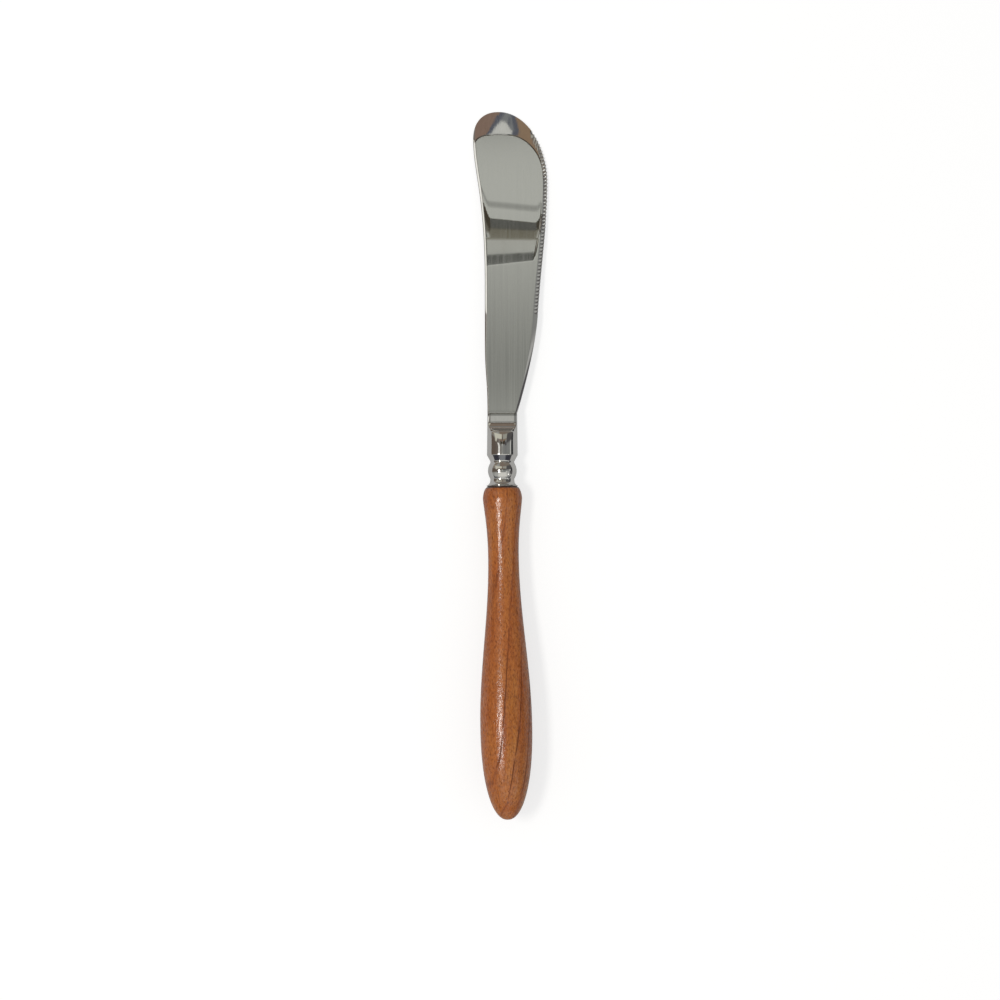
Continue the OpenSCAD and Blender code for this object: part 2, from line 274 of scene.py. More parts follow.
def bead_height(y):
    return BEAD_HEIGHT * max(0.0, 1 - (y - SEAM) / BEAD_WIDTH) ** 2


# Teeth: grooves across the bevel, spaced along the edge

TOOTH_PITCH = 1.09
TOOTH_COUNT = 51
GROOVE_DROP = (0.40, 0.26)
# Groove: its radius, the share of that which is cut, and the share of the bevel that it runs across
GROOVE_R = 0.518
GROOVE_SHARE = 0.98
GROOVE_REACH = 0.97
SHORTEST_GROOVE = 0.3
STEPS_PER_TOOTH = 10
# Samples of the edge, up to its shoulder and round the tip
EDGE_SAMPLES = (400, 600)

toothed_y = np.concatenate([
    np.linspace(TEETH_END, EDGE_SHOULDER, EDGE_SAMPLES[0])[:-1],
    EDGE_SHOULDER + (TIP - EDGE_SHOULDER) * np.sin(np.linspace(0, pi / 2, EDGE_SAMPLES[1])),
])
toothed_x = np.array([edge_x(y) for y in toothed_y])
toothed_s = np.concatenate([[0.0], np.cumsum(np.hypot(np.diff(toothed_x), np.diff(toothed_y)))])


def groove_drop(height):
    """Depth of the grooves at the rim: less where the blade is thick."""
    thick = (height - TIP_HALF) / (BLADE_HALF - TIP_HALF)
    return GROOVE_DROP[0] + (GROOVE_DROP[1] - GROOVE_DROP[0]) * thick


def groove_height(s, bevel, depth):
    """Height of the groove's floor at a distance along the edge, or None on a land."""
    if not 0 < s < TOOTH_COUNT * TOOTH_PITCH:
        return None
    u = (s / TOOTH_PITCH % 1 - 0.5) * TOOTH_PITCH
    if abs(u) > GROOVE_R * GROOVE_SHARE:
        return None
    return bevel - depth + GROOVE_R - sqrt(GROOVE_R ** 2 - u * u)


# Columns of a section: the same count on the spine's side as on the edge's side
SIDE_COLUMNS = 12
FACE_COLUMNS = 27
ROLL_COLUMNS = 8
BACK_SIDE_COLUMNS = 4
BACK_FACE_COLUMNS = 4
SPINE_SIDE_STEPS = (0.14, 0.4, 0.7, 1.0, 1.3, 1.65, 2.05, 2.6)
EDGE_SIDE_STEPS = (0.35, 0.7, 1.1, 1.6)
BEVEL_STEPS = (0.0, 0.12, 0.28, 0.46, 0.66, 0.88, 1.10)
FULL_FACE = 5.0
LEAST_WIDTH = 0.05
TANGENT_STEP = 0.05
# Bevel: how far it bows, the round of its ridge, and the facet along the ridge on the tip's flanks
BEVEL_CROWN = 0.2
RIDGE_ROUND = 0.14
FACET = 0.5
FACET_SLOPE = 0.42
FACET_SOFT = 0.07
WIDEST_FACET = 0.4
# Flanks: from where to where off the crown's line, and from what width of bevel and over what span
FLANK = (2.2, 4.2)
FLANK_WIDTH = (1.5, 0.5)
# Spine: where it turns into the tip's bevel, the share of its land that is chamfered, the slope of that by
# the tip and by the heel, and where and over what length one slope turns into the other
SPINE_TURN = (102.6, 103.8)
SPINE_CHAMFER = 0.72
SPINE_SLOPE = (0.22, 0.50)
SPINE_SLOPE_TURN = (44.0, 10.0)


def bevel_shares(width):
    """Where the columns lie across a bevel, from the rim inward: close together over the teeth."""
    near = [min(d, width * 0.9 * d / BEVEL_STEPS[-1]) / width for d in BEVEL_STEPS]
    last = max(near[-1] + (1 - near[-1]) * 0.5, 1 - RIDGE_ROUND / width)
    far = [1 - (FACET + FACET_SOFT) / width, 1 - (FACET - FACET_SOFT) / width, last]
    if far[0] < near[-1] + 0.1:
        far = [near[-1] + (last - near[-1]) * k for k in (0.5, 0.75, 1.0)]
    left_over = SIDE_COLUMNS - len(near) - len(far)
    between = [near[-1] + (far[0] - near[-1]) * (i + 1) / (left_over + 1) for i in range(left_over)]
    return near + between + far + [1.0]


def face_columns(width, strip):
    """Distances of the columns from the face's spine side: close together where the hollow curls."""
    by_edge = [0.0, RIDGE_ROUND, (RIDGE_ROUND + strip - STRIP_WALL / 2) / 2]
    by_edge += [strip + STRIP_WALL * k for k in (-0.5, 0.0, 0.5)]
    by_edge += [strip + d for d in EDGE_SIDE_STEPS]
    squeeze = min(1.0, width / FULL_FACE)
    near = [0.0] + [d * squeeze for d in SPINE_SIDE_STEPS]
    far = [width - d * squeeze for d in reversed(by_edge)]
    left_over = FACE_COLUMNS + 1 - len(near) - len(far)
    between = np.linspace(near[-1], far[0], left_over + 2)[1:-1]
    return near + list(between) + far


def flank_share(off, width):
    """How far a bevel belongs to the tip's flanks: none on the crown and none where it is narrow."""
    by_place = smooth_step((off - FLANK[0]) / (FLANK[1] - FLANK[0]))
    return by_place * smooth_step((width - FLANK_WIDTH[0]) / FLANK_WIDTH[1])


def bevel_height(top, w, width, flank):
    """Height of the bevel, a share of the way from the face to the rim."""
    plain = (1 - BEVEL_CROWN) * w + BEVEL_CROWN * w * w
    facet = min(WIDEST_FACET, FACET / max(width, LEAST_WIDTH))
    at_facet = FACET_SLOPE * min(w, facet)
    faceted = at_facet + max(0.0, w - facet) * (1 - FACET_SLOPE * facet) / (1 - facet)
    return top - (top - EDGE_RIM) * (plain + (faceted - plain) * flank)


def spine_profile(i, top, land, y):
    """Place across the spine's land and height there, from the rim inward: a roll and then a chamfer."""
    grown = smooth_step((y - SPINE_SLOPE_TURN[0]) / SPINE_SLOPE_TURN[1])
    slope = SPINE_SLOPE[1] + (SPINE_SLOPE[0] - SPINE_SLOPE[1]) * grown
    if i > ROLL_COLUMNS:
        w = SPINE_CHAMFER * (SIDE_COLUMNS - i) / (SIDE_COLUMNS - ROLL_COLUMNS)
        return w, top - slope * land * w
    turned = cos(pi / 2 * i / ROLL_COLUMNS)
    low = top - slope * land * SPINE_CHAMFER
    return SPINE_CHAMFER + (1 - SPINE_CHAMFER) * turned, low * sqrt(max(0.0, 1 - turned ** 2))


def blade_section(y, s):
    """Points of one section of the blade, from the spine over the face to the edge and back underneath."""
    f, g = face_place(y, EDGE_SHOULDER), face_place(y, SPINE_FACE_TURN)
    xs, xe, fs, fe = spine_x(y), edge_x(y), face_spine_x(g), face_edge_x(f)
    to_crown = smooth_step((y - SPINE_TURN[0]) / (SPINE_TURN[1] - SPINE_TURN[0]))
    hs, he = face_height(fs, g), face_height(fe, f)
    width_e = hypot(xe - fe, y - f)
    shares = bevel_shares(max(width_e, LEAST_WIDTH))
    front = []
    flank = flank_share(fe - CROWN_X, width_e)
    # Spine, which turns into the tip's bevel
    width_s = max(hypot(xs - fs, y - g), LEAST_WIDTH)
    flank_s = flank_share(CROWN_X - fs, width_s)
    tip_shares = bevel_shares(width_s)
    for i in range(SIDE_COLUMNS + 1):
        across_land, height = spine_profile(i, hs, spine_land(g), y)
        tip_w = 1 - tip_shares[i]
        w = (1 - to_crown) * across_land + to_crown * tip_w
        z = (1 - to_crown) * height + to_crown * bevel_height(hs, tip_w, width_s, flank_s)
        front.append((fs + (xs - fs) * w, g + (y - g) * w, z))
    face_width = fe - fs
    for d in face_columns(face_width, strip_width(f))[1:-1]:
        along = g + (f - g) * d / max(face_width, TINY)
        front.append((fs + d, along, face_height(fs + d, along) + bead_height(along)))
    # Bevel with its grooves
    ya, yb = max(TEETH_END, y - TANGENT_STEP), min(TIP, y + TANGENT_STEP)
    tangent = Vector((edge_x(yb) - edge_x(ya), yb - ya)).normalized() if yb > ya else Vector((0, 1))
    if y >= TIP - NEAR:
        tangent = Vector((-1, 0))
    inward = Vector((-tangent.y, tangent.x))
    across = Vector((fe - xe, f - y))
    slope = (he - EDGE_RIM) / max(width_e, LEAST_WIDTH)
    groove_end = GROOVE_REACH * min(EDGE_BEVEL, max(SHORTEST_GROOVE, across.dot(inward)))
    rim_drop = groove_drop(he)
    recess = 0.0
    rim_groove = groove_height(s, EDGE_RIM, rim_drop)
    if rim_groove is not None and rim_groove < -EDGE_RIM:
        recess = (-EDGE_RIM - rim_groove) / (2 * slope + 2 * rim_drop / groove_end)
    bevel = []
    for share in shares:
        p = across * share
        if share < 0.5 and recess:
            p = p + inward * max(0.0, recess - p.dot(inward))
        deep = p.dot(inward)
        z = bevel_height(he, 1 - min(1.0, max(share, deep / max(width_e, LEAST_WIDTH))), width_e, flank)
        floor = None
        if deep < groove_end:
            scoop = rim_drop * (1 - max(0.0, deep) / groove_end) ** 2
            floor = groove_height(s + p.dot(tangent), EDGE_RIM + slope * deep, scoop)
        if floor is not None:
            z = min(z, max(floor, -EDGE_RIM - slope * deep))
        bevel.append((xe + p.x, y + p.y, z))
    front.extend(reversed(bevel))
    # Underside: plain bevel, face and spine
    back = []
    rim_x, rim_y, _ = bevel[0]
    for i in range(BACK_SIDE_COLUMNS + 1):
        w = 1 - i / BACK_SIDE_COLUMNS
        z = EDGE_RIM + (he - EDGE_RIM) * (1 - w)
        px, py = fe + (xe - fe) * w, f + (y - f) * w
        if i == 0:
            px, py, z = rim_x, rim_y, EDGE_RIM + slope * recess
        back.append((px, py, -z))
    for i in range(1, BACK_FACE_COLUMNS):
        x = fe + (fs - fe) * i / BACK_FACE_COLUMNS
        along = f + (g - f) * i / BACK_FACE_COLUMNS
        back.append((x, along, -face_height(x, along)))
    for i in range(BACK_SIDE_COLUMNS + 1):
        a = i / BACK_SIDE_COLUMNS
        w = (1 - to_crown) * sin(pi / 2 * a) + to_crown * a
        z = (1 - to_crown) * hs * sqrt(max(0.0, 1 - w * w)) + to_crown * (hs + (EDGE_RIM - hs) * w)
        back.append((fs + (xs - fs) * w, g + (y - g) * w, -z))
    return front + back


def tenon_section(y):
    """Section of the tenon, with as many points as the blade's."""
    w, _, t = TENON
    side, face = SIDE_COLUMNS, FACE_COLUMNS
    front = [(-w, y, t * i / side) for i in range(side + 1)]
    front += [(-w + 2 * w * i / face, y, t) for i in range(1, face)]
    front += [(w, y, t * (1 - i / side)) for i in range(side + 1)]
    side, face = BACK_SIDE_COLUMNS, BACK_FACE_COLUMNS
    back = [(w, y, -t * i / side) for i in range(side + 1)]
    back += [(w - 2 * w * i / face, y, -t) for i in range(1, face)]
    back += [(-w, y, -t * (1 - i / side)) for i in range(side + 1)]
    return front + back


# Sections over the bead, along the plain heel and round the crown, and a place that has no tooth
BEAD_STATIONS = 9
HEEL_STATIONS = 60
CROWN_STATIONS = 50
NO_TOOTH = -1.0


def make_blade(face_steel, grind_steel):
    end_s = TOOTH_COUNT * TOOTH_PITCH
    bead_end = SEAM + BEAD_WIDTH
    stations = [(y, NO_TOOTH) for y in np.linspace(SEAM, bead_end, BEAD_STATIONS)[:-1]]
    stations += [(y, NO_TOOTH) for y in np.linspace(bead_end, TEETH_END, HEEL_STATIONS)[:-1]]
    for s in np.linspace(0, end_s, TOOTH_COUNT * STEPS_PER_TOOTH + 1):
        stations.append((float(np.interp(s, toothed_s, toothed_y)), float(s)))
    for s in end_s + (toothed_s[-1] - end_s) * np.sin(np.linspace(0, pi / 2, CROWN_STATIONS))[1:]:
        stations.append((float(np.interp(s, toothed_s, toothed_y)), float(s)))
    rings = [tenon_section(TENON[1]), tenon_section(SEAM)]
    rings += [blade_section(y, s) for y, s in stations]
    bm = bmesh.new()
    column, _ = loft(bm, rings)
    face_from, face_to = SIDE_COLUMNS, SIDE_COLUMNS + FACE_COLUMNS
    back_from = 2 * SIDE_COLUMNS + FACE_COLUMNS + 1 + BACK_SIDE_COLUMNS
    back_to = back_from + BACK_FACE_COLUMNS
    for face in bm.faces:
        columns = [v[column] for v in face.verts]
        on_front = min(columns) >= face_from and max(columns) <= face_to
        on_back = min(columns) >= back_from and max(columns) <= back_to
        face.material_index = 0 if on_front or on_back else 1
    for edge in bm.edges:
        a, b = (v[column] for v in edge.verts)
        if a == b and a in (back_from, back_to):
            edge.smooth = False
    finish_piece(bm, "satin_blade", [face_steel, grind_steel], "blade")


# Bolster: turned profile, with the neck cut down to a flat by a cove on each face

BOLSTER_COLUMNS = 144
FOOT_R = 4.6
FOOT_RIM = 0.2
# Broken edge of the foot: height, and how far it is drawn in there
FOOT_EDGE = ((0.0, 0.12), (0.03, 0.05), (0.1, 0.0))
WAIST_R = 3.55
FLARE_HEIGHT = 1.75
BALL_R = 4.25
BALL_AT = 4.58
GROOVE_TOP = 7.4
BARREL_BASE = 9.2
BARREL_R = 4.55
NECK_R = 4.4
NECK_HALF = 1.2
COVE_R = 3.2
COVE_AT = 18.93
COVE_LENGTH = 2.73
WALL_AT = COVE_AT - COVE_LENGTH
TANG_R = 1.5
TANG_SEAT = 6.4
# Mortise: half its width, half its thickness and its depth
MORTISE = (2.85, 0.55, 11.3)
# Softness of the edges on the neck and on the barrel, and of the turned corners
EDGE_SOFTNESS = (0.08, 0.22)
PROFILE_SOFTNESS = 0.12
# Round of the barrel's lower end: its length and its depth
BASE_ROUND = (0.25, 0.07)
# Barrel's faces: where they start to fall toward the cove, and how far
CROWNED_FROM = 11.8
CROWNED_DROP = 0.9
NECK_ROUND = 0.08
NECK_RISE = 0.025
# Halvings that find each point of a ring, and how far outside the profile the search starts
HALVINGS = 34
SEARCH_FROM = 1.05
# Rings, part by part from the foot to the seam
BALL_RINGS = 60
GROOVE_RINGS = 12
BASE_RINGS = 7
BARREL_RINGS = 8
BARREL_START = 0.5
FALL_RINGS = 26
COVE_RINGS = 36
NECK_RINGS = 6
NECK_END_RINGS = 8


def soft_max(a, b, softness):
    h = np.maximum(softness - np.abs(a - b), 0.0) / softness
    return np.maximum(a, b) + h * h * softness / 4


def bolster_radius(y):
    """Radius of the turned profile at a height over the foot."""
    flare_r = ((FLARE_HEIGHT - FOOT_RIM) ** 2 + (FOOT_R - WAIST_R) ** 2) / (2 * (FOOT_R - WAIST_R))
    parts = [WAIST_R if y < GROOVE_TOP else 0.0]
    if y <= FOOT_RIM:
        parts.append(FOOT_R)
    elif y < FLARE_HEIGHT:
        parts.append(WAIST_R + flare_r - sqrt(max(0.0, flare_r ** 2 - (FLARE_HEIGHT - y) ** 2)))
    if abs(y - BALL_AT) < BALL_R:
        parts.append(sqrt(BALL_R ** 2 - (y - BALL_AT) ** 2))
    if GROOVE_TOP <= y < BARREL_BASE:
        parts.append(WAIST_R + (BARREL_R - WAIST_R) * (y - GROOVE_TOP) / (BARREL_BASE - GROOVE_TOP))
    elif y >= BARREL_BASE:
        parts.append(BARREL_R + (NECK_R - BARREL_R) * (y - BARREL_BASE) / (SEAM - BARREL_BASE))
    if len(parts) == 1:
        return parts[0]
    parts.sort()
    return float(soft_max(np.float64(parts[-1]), np.float64(parts[-2]), PROFILE_SOFTNESS))


def bolster_ring(y, radius=None):
    """One ring of the bolster: the turned circle, softly cut back by the cove or the neck's flats."""
    angles = 2 * pi * np.arange(BOLSTER_COLUMNS) / BOLSTER_COLUMNS
    r = bolster_radius(y) if radius is None else radius
    crowned = min(1.0, max(0.0, (y - CROWNED_FROM) / (WALL_AT - CROWNED_FROM)))
    flattened = r / (r - CROWNED_DROP * (1 - sqrt(1 - crowned ** 2)))
    past_neck = min(1.0, max(0.0, 1 - (SEAM - y) / NECK_ROUND))
    neck = NECK_HALF + NECK_RISE * (y - COVE_AT) / (SEAM - COVE_AT)
    neck -= NECK_ROUND * (1 - sqrt(1 - past_neck ** 2))
    softness = EDGE_SOFTNESS[0] + (EDGE_SOFTNESS[1] - EDGE_SOFTNESS[0]) * smooth_step(COVE_AT - y)
    low = np.zeros(BOLSTER_COLUMNS)
    high = np.full(BOLSTER_COLUMNS, r * SEARCH_FROM)
    for _ in range(HALVINGS):
        mid = (low + high) / 2
        z = np.abs(mid * np.sin(angles))
        barrel = np.hypot(mid * np.cos(angles), z * flattened) - r
        if y < COVE_AT:
            cut = COVE_R - np.hypot((y - COVE_AT) * COVE_R / COVE_LENGTH, z - NECK_HALF - COVE_R)
        else:
            cut = z - neck
        outside = soft_max(barrel, cut, softness) > 0
        high = np.where(outside, mid, high)
        low = np.where(outside, low, mid)
    return [(rho * cos(a), y, rho * sin(a)) for rho, a in zip(low, angles)]


def round_ring(y, r):
    step = 2 * pi / BOLSTER_COLUMNS
    return [(r * cos(i * step), y, r * sin(i * step)) for i in range(BOLSTER_COLUMNS)]


def mortise_ring(y):
    ring = []
    for i in range(BOLSTER_COLUMNS):
        a = 2 * pi * i / BOLSTER_COLUMNS
        reach = min(MORTISE[0] / max(abs(cos(a)), TINY), MORTISE[1] / max(abs(sin(a)), TINY))
        ring.append((reach * cos(a), y, reach * sin(a)))
    return ring


def make_bolster(steel):
    rings = [round_ring(TANG_SEAT, TANG_R), round_ring(0.0, TANG_R)]
    rings += [round_ring(y, FOOT_R - d) for y, d in (*FOOT_EDGE, (FOOT_RIM, 0.0))]
    rings += [bolster_ring(y) for y in np.linspace(FOOT_RIM, GROOVE_TOP, BALL_RINGS)[1:]]
    rings += [bolster_ring(y) for y in np.linspace(GROOVE_TOP, BARREL_BASE, GROOVE_RINGS)[1:-1]]
    for a in np.linspace(0, 1, BASE_RINGS):
        y = BARREL_BASE - BASE_ROUND[0] / 2 + BASE_ROUND[0] * a
        r = bolster_radius(BARREL_BASE) - BASE_ROUND[1] * (1 - a) ** 2
        rings.append(bolster_ring(y, r))
    barrel_start = BARREL_BASE + BARREL_START
    rings += [bolster_ring(y) for y in np.linspace(barrel_start, CROWNED_FROM, BARREL_RINGS)]
    rings += [bolster_ring(CROWNED_FROM + (WALL_AT - CROWNED_FROM) * sin(a))
              for a in np.linspace(0, pi / 2, FALL_RINGS)[1:]]
    rings += [bolster_ring(COVE_AT - COVE_LENGTH * sin(a))
              for a in np.linspace(pi / 2, 0, COVE_RINGS)[1:]]
    rings += [bolster_ring(y) for y in np.linspace(COVE_AT, SEAM - NECK_ROUND, NECK_RINGS)[1:]]
    rings += [bolster_ring(SEAM - NECK_ROUND * (1 - sin(a)))
              for a in np.linspace(0, pi / 2, NECK_END_RINGS)[1:]]
    rings += [mortise_ring(SEAM), mortise_ring(SEAM - MORTISE[2])]
    bm = bmesh.new()
    _, last = loft(bm, rings)
    bmesh.ops.contextual_create(bm, geom=last)
    finish_piece(bm, "turned_bolster", [steel], "bolster")


# Handle: a turned pear with a short shoulder, drilled for the tang

HANDLE_STEPS = 128
SEAT_R = 4.6
SHOULDER_R = 5.82
SHOULDER_AT = 3.4
HANDLE_WAIST_R = 4.54
HANDLE_WAIST_AT = 20.5
SWELL_R = 7.68
SWELL_AT = 71.0
HANDLE_LENGTH = 98.3
SHOULDER_POWER = 1.7
BUTT_POWER = 2.2
SHOULDER_DRAW = 0.62
BORE_R = 2.0
BORE_DEPTH = 49.5
DRILL_ANGLE = radians(31)
# Points of the outline, part by part from the seat to the butt
SHOULDER_POINTS = 18
WAIST_POINTS = 28
SWELL_POINTS = 46
BUTT_POINTS = 60


def handle_outline():
    """Radius and distance below the seat, from the seat to the butt."""
    line = []
    for a in np.linspace(0, pi / 2, SHOULDER_POINTS)[:-1]:
        line.append((SEAT_R + (SHOULDER_R - SEAT_R) * sin(a) ** (2 / SHOULDER_POWER),
                     SHOULDER_AT * (1 - cos(a) ** (2 / SHOULDER_POWER))))
    for t in np.linspace(0, 1, WAIST_POINTS)[:-1]:
        blend = (1 + cos(pi * t ** SHOULDER_DRAW)) / 2
        line.append((HANDLE_WAIST_R + (SHOULDER_R - HANDLE_WAIST_R) * blend,
                     SHOULDER_AT + (HANDLE_WAIST_AT - SHOULDER_AT) * t))
    for t in np.linspace(0, 1, SWELL_POINTS)[:-1]:
        line.append((SWELL_R + (HANDLE_WAIST_R - SWELL_R) * (1 + cos(pi * t)) / 2,
                     HANDLE_WAIST_AT + (SWELL_AT - HANDLE_WAIST_AT) * t))
    for a in np.linspace(0, pi / 2, BUTT_POINTS):
        line.append((SWELL_R * max(0.0, cos(a)) ** (2 / BUTT_POWER),
                     SWELL_AT + (HANDLE_LENGTH - SWELL_AT) * sin(a) ** (2 / BUTT_POWER)))
    line[-1] = (0.0, HANDLE_LENGTH)
    return line


def make_handle(wood):
    drill_point = BORE_R * tan(DRILL_ANGLE)
    bore = [(0.0, BORE_DEPTH + drill_point), (BORE_R, BORE_DEPTH), (BORE_R, GLUE_LINE)]
    bm = bmesh.new()
    outer = bm.verts.layers.int.new("outer")
    chain = []
    for kind, shift, points in ((0, 0.0, bore), (1, GLUE_LINE, handle_outline())):
        for r, s in points:
            v = bm.verts.new((r, -s - shift, 0))
            v[outer] = kind
            chain.append(v)
    edges = [bm.edges.new(pair) for pair in zip(chain, chain[1:])]
    bmesh.ops.spin(bm, geom=chain + edges, cent=(0, 0, 0), axis=(0, 1, 0), angle=2 * pi,
                   steps=HANDLE_STEPS, use_merge=True)
    skin = [v for v in bm.verts if v[outer]]
    seat = [v for v in skin if v.co.y > -GLUE_LINE - NEAR]
    bmesh.ops.rotate(bm, cent=(0, -GLUE_LINE, 0), matrix=Matrix.Rotation(HANDLE_LEAN, 3, "Z"), verts=skin)
    for v in seat:
        v.co.y = -GLUE_LINE
    finish_piece(bm, "turned_handle", [wood], "handle")


# Node helpers

def feed(tree, socket, value):
    """Links an output to a socket, or sets a plain value on it."""
    if isinstance(value, bpy.types.NodeSocket):
        tree.links.new(value, socket)
    else:
        socket.default_value = value


def node(tree, kind, sockets=None, **settings):
    n = tree.nodes.new("ShaderNode" + kind)
    for key, value in settings.items():
        setattr(n, key, value)
    for key, value in (sockets or {}).items():
        feed(tree, n.inputs[key], value)
    return n


def maths(tree, operation, a, b=0.0, clamp=False):
    return node(tree, "Math", {0: a, 1: b}, operation=operation, use_clamp=clamp).outputs[0]


def remap(tree, value, low, high, to_low=0.0, to_high=1.0, smooth=False):
    kind = "SMOOTHSTEP" if smooth else "LINEAR"
    sockets = {"Value": value, "From Min": low, "From Max": high, "To Min": to_low, "To Max": to_high}
    return node(tree, "MapRange", sockets, interpolation_type=kind).outputs["Result"]


def product(tree, *factors):
    value = factors[0]
    for factor in factors[1:]:
        value = maths(tree, "MULTIPLY", value, factor)
    return value


def window(tree, value, rise, fall):
    """1 between two soft edges, and 0 outside them."""
    return product(tree, remap(tree, value, *rise), remap(tree, value, *fall))


def apart(tree, value, place):
    return maths(tree, "ABSOLUTE", maths(tree, "SUBTRACT", value, place))


def ramp(tree, value, stops):
    n = node(tree, "ValToRGB", {"Fac": value})
    elements = n.color_ramp.elements
    while len(elements) < len(stops):
        elements.new(1.0)
    for element, (place, _) in zip(elements, stops):
        element.position = place
    for element, (_, colour) in zip(elements, stops):
        element.color = (*colour, 1.0)
    return n.outputs["Color"]


def mix(tree, factor, a, b, blend="MIX"):
    n = node(tree, "Mix", data_type="RGBA", blend_type=blend)
    sockets = [s for s in n.inputs if s.enabled]
    for socket, value in zip(sockets, (factor, a, b)):
        feed(tree, socket, (*value, 1.0) if isinstance(value, tuple) else value)
    return [s for s in n.outputs if s.enabled][0]


def stretch(tree, coordinates, scale, shift=(0, 0, 0)):
    return node(tree, "Mapping", {"Vector": coordinates, "Scale": scale, "Location": shift}).outputs[0]


def noise(tree, coordinates, detail=2.0, roughness=0.5, distortion=0.0):
    sockets = {"Vector": coordinates, "Scale": 1.0, "Detail": detail, "Roughness": roughness,
               "Distortion": distortion}
    return node(tree, "TexNoise", sockets).outputs[0]


def knife_coordinates(tree, lean=0.0):
    """Millimetres in the knife's own frame: X across, Y along, Z up."""
    turn = Matrix.Rotation(-lean, 3, "Z") @ Matrix.Rotation(REST_TILT, 3, "X")
    shift = -(turn @ Vector((-MID_X, -MID_Y, REST_HEIGHT)))
    place = node(tree, "TexCoord").outputs["Object"]
    sockets = {"Vector": place, "Location": shift, "Rotation": (REST_TILT, 0, -lean),
               "Scale": (1 / MM,) * 3}
    return node(tree, "Mapping", sockets, vector_type="POINT").outputs[0]


def new_material(name):
    material = bpy.data.materials.new(name)
    material.use_nodes = True
    tree = material.node_tree
    shader = tree.nodes["Principled BSDF"]
    return material, tree, shader


def plug(tree, shader, **sockets):
    for key, value in sockets.items():
        feed(tree, shader.inputs[key.replace("_", " ")], value)


def bump(tree, height, distance):
    return node(tree, "Bump", {"Height": height, "Distance": distance, "Strength": 1.0}).outputs[0]


# Materials

def satin_steel():
    """Blade face: fine lengthwise brushing over a near mirror."""
    material, tree, shader = new_material("satin_blade_steel")
    place = knife_coordinates(tree)
    fine = noise(tree, stretch(tree, place, (5.0, 0.035, 5.0)), detail=3.0)
    broad = noise(tree, stretch(tree, place, (0.9, 0.012, 0.9)), detail=2.0)
    streak = maths(tree, "ADD", maths(tree, "MULTIPLY", fine, 0.7), maths(tree, "MULTIPLY", broad, 0.3))
    colour = ramp(tree, streak, [(0.32, (0.59, 0.595, 0.565)), (0.68, (0.65, 0.655, 0.62))])
    # Painted shade beside the solder seam: a darker band on the blade
    off_seam = apart(tree, node(tree, "SeparateXYZ", {0: place}).outputs[1], SEAM + 0.2)
    colour = mix(tree, remap(tree, off_seam, 0.5, 0.25), colour, (0.44, 0.44, 0.42))
    rough = remap(tree, streak, 0.3, 0.7, 0.045, 0.07)
    plug(tree, shader, Base_Color=colour, Metallic=1.0, Roughness=rough,
         Normal=bump(tree, streak, 1.2e-6))
    return material


def polished_steel(name, roughness, tone):
    """Buffed steel with faint swirls left by the wheel."""
    material, tree, shader = new_material(name)
    place = knife_coordinates(tree)
    swirl = noise(tree, stretch(tree, place, (1.2, 0.5, 1.2)), detail=3.0, distortion=0.6)
    darker, lighter = ((level, level * 0.99, level * 0.96) for level in (tone - 0.03, tone + 0.03))
    colour = ramp(tree, swirl, [(0.3, darker), (0.7, lighter)])
    # Painted shade on the neck beside the solder seam: a darker band
    off_seam = apart(tree, node(tree, "SeparateXYZ", {0: place}).outputs[1], SEAM - 0.36)
    colour = mix(tree, remap(tree, off_seam, 0.50, 0.28), colour, (0.37, 0.37, 0.35))
    rough = remap(tree, swirl, 0.3, 0.7, roughness * 0.8, roughness * 1.2)
    plug(tree, shader, Base_Color=colour, Metallic=1.0, Roughness=rough,
         Normal=bump(tree, swirl, 1.0e-6))
    return material


